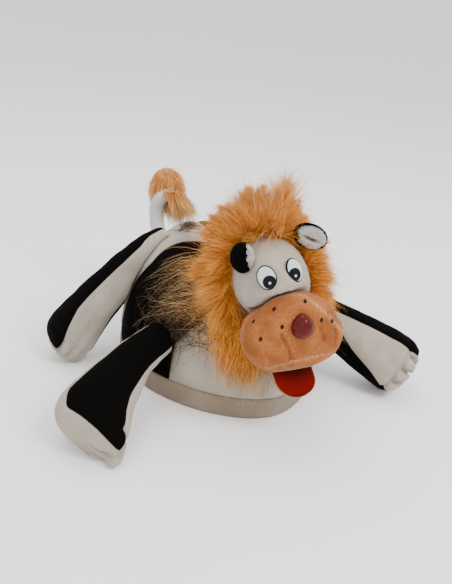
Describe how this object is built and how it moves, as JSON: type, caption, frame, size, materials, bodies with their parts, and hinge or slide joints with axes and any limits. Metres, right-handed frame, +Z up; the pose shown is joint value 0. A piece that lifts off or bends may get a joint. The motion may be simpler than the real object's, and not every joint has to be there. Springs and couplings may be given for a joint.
{
  "type": "plush lion hat",
  "caption": "Soft plush hat shaped like a lion lying on top: a sewn crown on a sweatband, with a stuffed head and fur mane in front, stuffed legs round the rim and a tufted tail.",
  "frame": {"origin": "middle of the hat's bounding box on the floor that its sweatband and feet rest on", "axes": "+Z up out of the floor; -Y the way the lion faces, +X to the lion's left, the longest side"},
  "size_m": [0.3078, 0.2521, 0.179],
  "materials": {
    "cream_plush": "short cream plush",
    "black_plush": "short black plush",
    "beige_band": "smooth beige lining cloth",
    "tan_velour": "tan velour with a short nap",
    "orange_fur": "long orange fur",
    "grey_plush": "pale grey plush",
    "brown_plastic": "dark red-brown, glossy",
    "white_plastic": "white with printed pupils, glossy",
    "red_felt": "red felt",
    "tan_felt": "tan felt",
    "white_fleece": "white long-pile fleece"
  },
  "bodies": {
    "root": {"crown_front": "cream_plush", "crown_back_right": "cream_plush", "crown_left": "cream_plush", "crown_right": "black_plush", "crown_back_left": "black_plush", "sweatband": "beige_band", "head": "cream_plush", "snout": "tan_velour", "nose": "brown_plastic", "eye_right": "white_plastic", "eye_left": "white_plastic", "ear_right": "black_plush", "ear_left": "black_plush", "ear_right_lining": "white_fleece", "ear_left_lining": "white_fleece", "tongue": "red_felt", "tongue_backing": "tan_felt", "mane": "orange_fur", "leg_front_right": "black_plush", "leg_front_left": "black_plush", "leg_back_right": "black_plush", "leg_back_left": "black_plush", "tail": "grey_plush", "tail_tuft": "orange_fur"}
  },
  "joints": []
}
